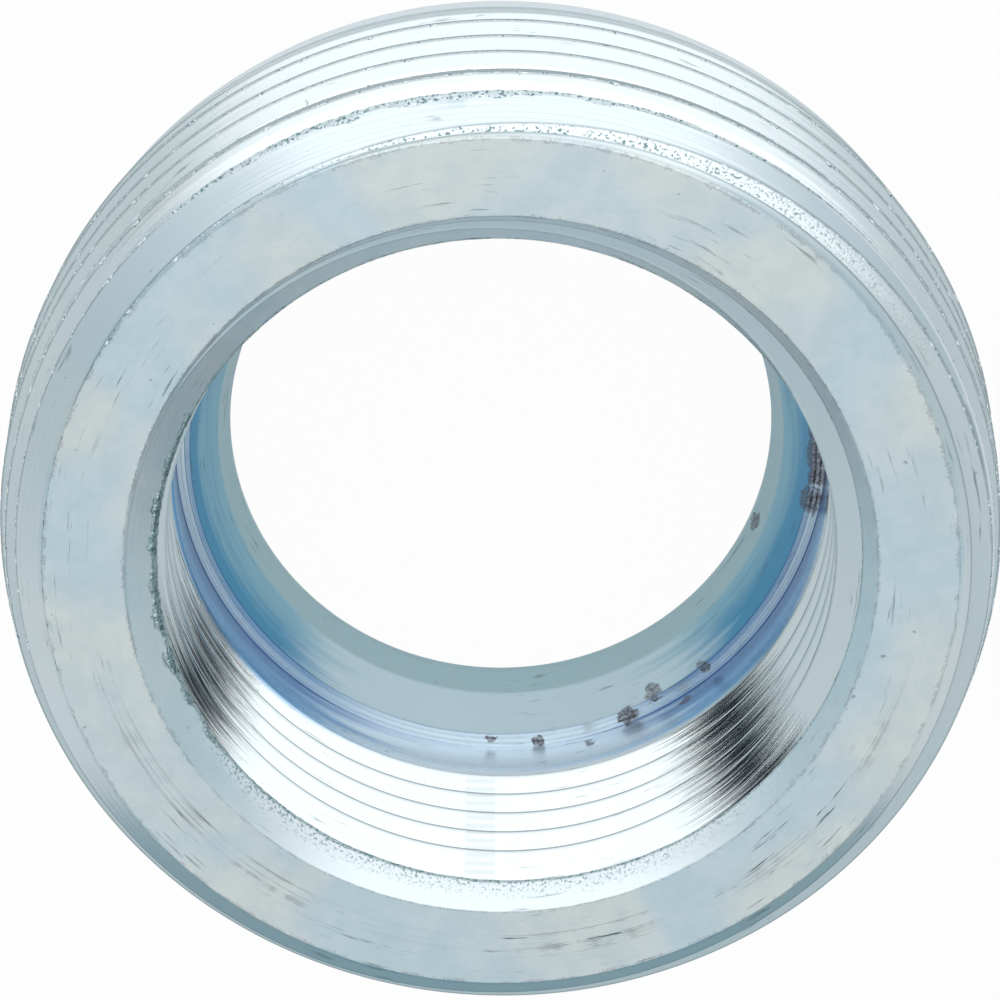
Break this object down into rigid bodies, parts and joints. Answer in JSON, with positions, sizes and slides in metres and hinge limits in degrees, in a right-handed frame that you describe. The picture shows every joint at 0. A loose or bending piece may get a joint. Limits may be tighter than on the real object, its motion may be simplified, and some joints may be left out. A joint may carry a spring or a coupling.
{
  "type": "threaded reducing bushing",
  "caption": "Round steel reducing bushing with a male thread outside, a female thread inside and a stepped throat.",
  "frame": {"origin": "centre of the rear end face, the face that the bushing stands on", "axes": "+Z along the axis, from the rear face to the front face with the mouth of the female thread"},
  "size_m": [0.0482, 0.0482, 0.019],
  "materials": {
    "zinc_plated_steel": "turned steel with a pale blue zinc plate, lightly scratched, with a few rust spots"
  },
  "bodies": {
    "root": {"bushing_body": "zinc_plated_steel"}
  },
  "joints": []
}
